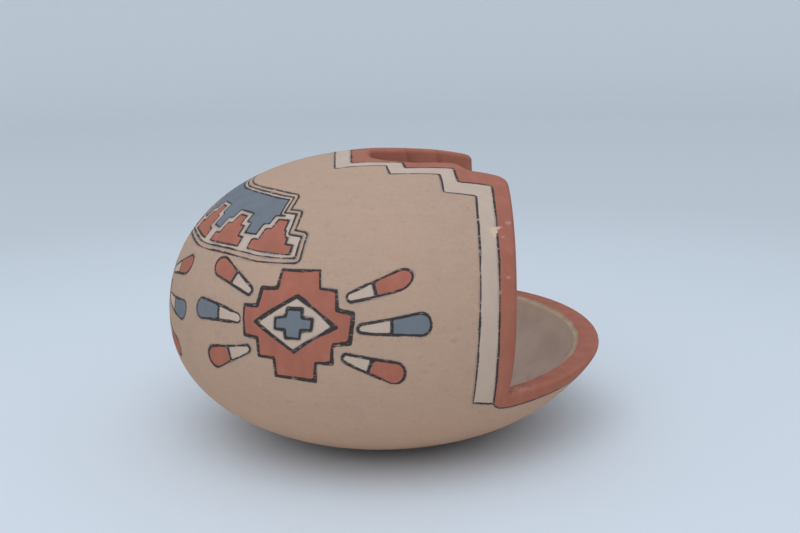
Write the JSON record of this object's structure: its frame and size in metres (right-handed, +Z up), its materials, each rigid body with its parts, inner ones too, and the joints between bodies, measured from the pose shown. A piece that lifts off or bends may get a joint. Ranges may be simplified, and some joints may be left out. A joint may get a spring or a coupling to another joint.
{
  "type": "pottery jar",
  "caption": "Squat round seed jar of unglazed clay, with a stepped notch over its crown that opens into a wide side mouth with a low lip.",
  "frame": {"origin": "centre of the flat spot that the jar stands on, on the body's upright axis", "axes": "+Z up along the body's axis, +X towards the middle of the mouth, +Y away from the side with the main painted panel"},
  "size_m": [0.1465, 0.147, 0.0946],
  "materials": {
    "wall_clay": "unglazed buff earthenware, stone-smoothed and matte, with painted slips",
    "base_clay": "unglazed buff earthenware, matte, a little darker and scuffed underneath",
    "lip_clay": "buff earthenware with a matte terracotta slip on its cut edge"
  },
  "bodies": {
    "root": {"base_bowl": "base_clay", "lower_coil_1": "wall_clay", "lip_coil": "lip_clay", "wall_coil_1": "wall_clay", "wall_coil_2": "wall_clay", "wall_coil_3": "wall_clay", "wall_coil_4": "wall_clay", "shoulder_coil": "wall_clay", "crown_disc": "wall_clay"}
  },
  "joints": []
}
